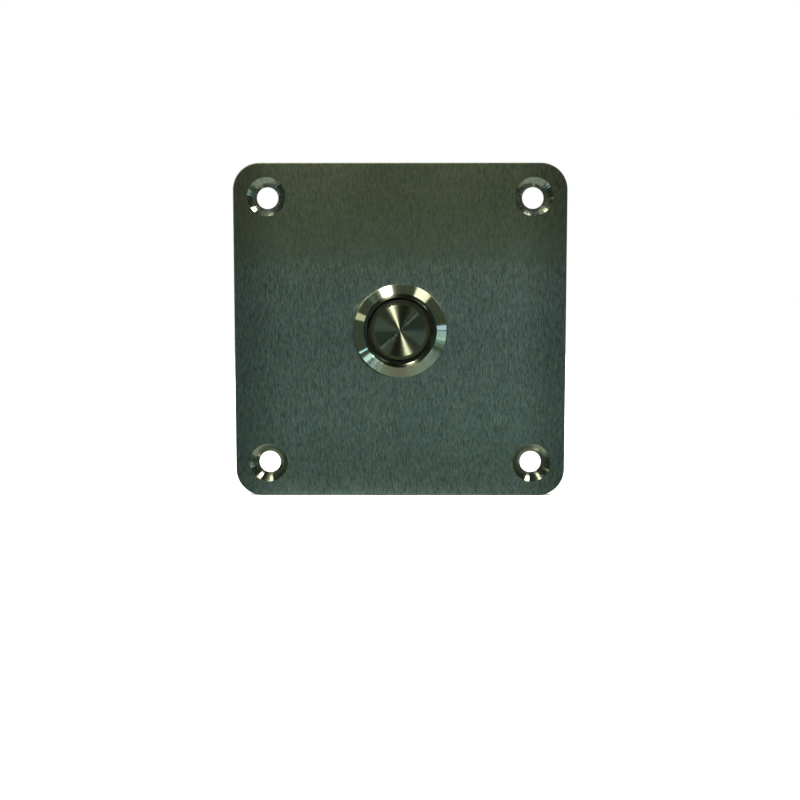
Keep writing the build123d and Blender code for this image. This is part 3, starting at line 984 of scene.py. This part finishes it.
# Small pieces that keep the shape they have in the CAD
CARRIED_OVER = {
    "retaining_clip": "blued_steel", "bridge_clip": "blued_steel",
    "plunger": "white_nylon", "contact_bridge": "contact_brass",
    "bridge_tip_left": "contact_silver", "bridge_tip_right": "contact_silver",
    "fixed_tip_left": "contact_silver", "fixed_tip_right": "contact_silver",
}
for node, finish in CARRIED_OVER.items():
    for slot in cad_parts[node].material_slots:
        slot.material = FINISHES[finish]


# Studio: floor, light and camera

def direction(azimuth, off_axis):
    """A direction in front of the plate: azimuth round the switch axis, and angle from it.

    Azimuth 0 is to the right and 90 is up.
    """
    across, away = sin(radians(off_axis)), cos(radians(off_axis))
    return Vector((across * cos(radians(azimuth)), -away, across * sin(radians(azimuth))))


def lamp(name, azimuth, off_axis, distance, width, length, radiance, colour):
    """A flat lamp that faces the switch. Its length runs away from the switch axis."""
    light = bpy.data.lights.new(name, "AREA")
    light.shape = "RECTANGLE"
    light.size, light.size_y = width, length
    light.energy = radiance * pi * width * length
    light.color = colour
    back = direction(azimuth, off_axis)
    along = direction(azimuth, off_axis + 90)
    side = along.cross(back)
    rotation = Matrix((side, along, back)).transposed().to_4x4()
    lamp_object = bpy.data.objects.new(name, light)
    lamp_object.matrix_world = Matrix.Translation(back * distance) @ rotation
    lamp_object.visible_camera = False
    bpy.context.scene.collection.objects.link(lamp_object)


def make_world():
    """White to the eye. For the metal, a dim room in front of the plate and a bright one behind."""
    world = bpy.data.worlds.new("studio")
    bpy.context.scene.world = world
    world.use_nodes = True
    nodes = Nodes(world.node_tree)
    spot = nodes.add("ShaderNodeTexCoord", output="Generated")
    across, depth, height = nodes.axes(spot)
    aside = nodes.maths("ABSOLUTE", across)
    beside = depth.band(-0.45, -0.25)

    # Below the plate it is lighter than above, as over a workbench.
    low_front = (height - across * 0.05).band(-0.56, -0.36, 1.0, 0.0)
    low_beside = height - across * 0.1 - depth.band(-0.2, -0.08, 0.0, 0.3)
    low_beside = low_beside.band(-0.76, -0.64, 1.0, 0.0)
    low_behind = depth.band(0.0, 0.14) * height.band(-0.05, 0.12, 1.0, 0.0)
    low_ahead = low_front * (1 - beside) + low_beside * beside
    low_side = nodes.maths("MAXIMUM", low_ahead, low_behind)
    low_colour = nodes.ramp(aside, [
        (0.05, (0.170, 0.184, 0.118)), (0.22, (0.175, 0.215, 0.148)),
        (0.42, (0.218, 0.300, 0.205)), (0.62, (0.172, 0.260, 0.217)),
    ])
    bench = nodes.mix(depth.band(-0.1, 0.12), (0.36, 0.42, 0.33), (0.20, 0.26, 0.20))
    dark = nodes.mix(beside, (0.058, 0.077, 0.048), (0.020, 0.026, 0.018))
    dim = nodes.mix(low_side, dark, nodes.mix(beside, low_colour, bench))

    # Straight ahead it is darkest, and left and right of that stands a wall in its own light.
    near_axis = aside.band(0.10, 0.2, 1.0, 0.0)
    near_axis = near_axis * height.band(-0.35, -0.2) * height.band(0.2, 0.35, 1.0, 0.0)
    dim = nodes.mix(near_axis, dim, (0.012, 0.016, 0.012))
    wall = nodes.ramp(height * 1.25 + 0.625, [
        (0.36, (0.10, 0.16, 0.14)), (0.43, (0.185, 0.293, 0.263)), (0.49, (0.26, 0.405, 0.375)),
        (0.56, (0.272, 0.413, 0.38)), (0.61, (0.185, 0.287, 0.265)), (0.645, (0.195, 0.293, 0.28)),
        (0.70, (0.240, 0.355, 0.345)), (0.735, (0.250, 0.370, 0.350)),
        (0.752, (0.215, 0.275, 0.175)), (0.95, (0.215, 0.27, 0.15)),
    ])
    wall_area = aside.band(0.10, 0.20) * aside.band(0.48, 0.60, 1.0, 0.0)
    wall_area = wall_area * height.band(0.23, 0.32, 1.0, 0.0) * height.band(-0.30, -0.2)
    pillar = across.band(0.05, 0.3) * height.band(-0.02, 0.03) * height.band(0.07, 0.10, 1.0, 0.0)
    wall_area = wall_area * (1 - pillar * 0.4)
    room = nodes.mix(wall_area, dim, wall)

    # Behind the plate
    rear = nodes.ramp(height * 0.5 + 0.5, [
        (0.05, (0.44, 0.44, 0.43)), (0.45, (0.48, 0.48, 0.48)),
        (0.6, (0.80, 0.81, 0.83)), (0.95, (1.0, 1.0, 1.0)),
    ])
    seen = nodes.add("ShaderNodeLightPath", output="Is Camera Ray")
    light = nodes.mix(seen, nodes.mix(depth.band(0.3, 0.6), room, rear), (1.0, 1.0, 1.0))
    background = nodes.add("ShaderNodeBackground", values={"Color": light, "Strength": 1.0})
    nodes.add("ShaderNodeOutputWorld", values={"Surface": background})


# Name, azimuth and angle off the axis, distance, width and length in metres, radiance, colour
LAMPS = [
    ("key", 109, 57, 0.8, 0.197, 0.16, 3.0, (1.0, 1.0, 0.85)),
    ("key_near", 109, 38, 0.8, 0.076, 0.22, 232.0, (1.0, 1.0, 0.76)),
    ("key_side", 130, 51, 0.8, 0.09, 0.34, 0.10, (0.65, 1.0, 0.90)),
    ("key_top", 113, 82, 0.6, 0.13, 0.17, 2.6, (0.93, 1.0, 0.75)),
    ("warm_lamp", 58.9, 60, 0.8, 0.23, 0.38, 1.5, (1.0, 1.0, 0.70)),
    ("warm_top", 62, 84, 0.7, 0.20, 0.24, 8.0, (1.0, 1.0, 0.80)),
    ("side_glow", 160, 58, 0.8, 0.105, 0.36, 0.74, (0.98, 1.0, 0.62)),
    ("window_top", 5.3, 58, 0.8, 0.074, 0.40, 1.06, (0.56, 0.83, 1.0)),
    ("window_middle", -3.4, 58, 0.8, 0.102, 0.40, 0.62, (0.64, 1.0, 0.98)),
    ("window_low", -9.9, 58, 0.8, 0.048, 0.40, 0.74, (0.58, 1.0, 0.88)),
    ("window_foot", -13.9, 58, 0.8, 0.059, 0.40, 0.29, (0.56, 1.0, 0.84)),
    ("window_sill", -18.9, 58, 0.8, 0.074, 0.40, 0.13, (0.54, 1.0, 0.78)),
    ("left_pane_thin", 207.4, 58, 0.8, 0.022, 0.36, 1.86, (0.52, 0.96, 1.0)),
    ("left_pane", 218.8, 56, 0.8, 0.08, 0.34, 1.1, (0.66, 1.0, 0.98)),
    ("left_pane_low", 230.4, 56, 0.8, 0.064, 0.34, 0.33, (0.52, 0.72, 1.0)),
    ("left_near", 221.5, 32, 0.8, 0.034, 0.20, 34.0, (0.70, 1.0, 0.90)),
    ("left_wide", 234, 32, 0.8, 0.12, 0.20, 4.5, (0.86, 1.0, 0.78)),
    ("right_near", 322, 38, 0.8, 0.18, 0.16, 2.4, (0.82, 1.0, 0.80)),
]
# Name, place and size in metres, radiance
REAR_LAMPS = [
    ("rear_left", (-0.55, 0.8, 0.35), 0.5, 2.4),
    ("rear_right", (0.65, 0.7, 0.15), 0.4, 1.1),
    ("rear_top", (0.1, 0.8, 0.6), 0.5, 2.2),
]


def rear_lamp(name, place, size, radiance):
    """A square softbox behind the plate that faces the switch."""
    light = bpy.data.lights.new(name, "AREA")
    light.size = size
    light.energy = radiance * pi * size * size
    softbox = bpy.data.objects.new(name, light)
    rotation = Vector(place).to_track_quat("Z", "Y").to_matrix().to_4x4()
    softbox.matrix_world = Matrix.Translation(place) @ rotation
    softbox.visible_camera = False
    bpy.context.scene.collection.objects.link(softbox)


def make_studio():
    make_world()
    floor_mesh = bmesh.new()
    bmesh.ops.create_grid(floor_mesh, x_segments=8, y_segments=8, size=4.0)
    floor_gap = 0.02
    below = Matrix.Translation((0, 0, -(PLATE_HALF + floor_gap) * MM))
    pale = loose_object("floor", floor_mesh, below)
    pale.data.materials.append(surface("pale_floor", pale_floor))
    pale.visible_glossy = False
    sun = bpy.data.lights.new("overhead", "SUN")
    sun.energy = 5.2
    sun.angle = radians(70)
    overhead = bpy.data.objects.new("overhead", sun)
    overhead.visible_glossy = False
    bpy.context.scene.collection.objects.link(overhead)
    for settings in LAMPS:
        lamp(*settings)
    for settings in REAR_LAMPS:
        rear_lamp(*settings)


def make_camera():
    """The photograph's place and angle, close in front of the plate and looking slightly down."""
    place = (0.93, -260, -4.21)
    pan, tilt = radians(-0.214), radians(-3.709)
    forward = Vector((sin(pan) * cos(tilt), cos(pan) * cos(tilt), sin(tilt)))
    right = Vector((cos(pan), -sin(pan), 0))
    up = right.cross(forward)
    data = bpy.data.cameras.new("camera")
    data.lens = 38.22
    data.sensor_width = 36
    data.clip_start = 0.01
    camera = bpy.data.objects.new("camera", data)
    rotation = Matrix((right, up, -forward)).transposed().to_4x4()
    camera.matrix_world = Matrix.Translation([part * MM for part in place]) @ rotation
    bpy.context.scene.collection.objects.link(camera)
    bpy.context.scene.camera = camera


make_studio()
make_camera()
bpy.context.scene.view_settings.view_transform = "Standard"
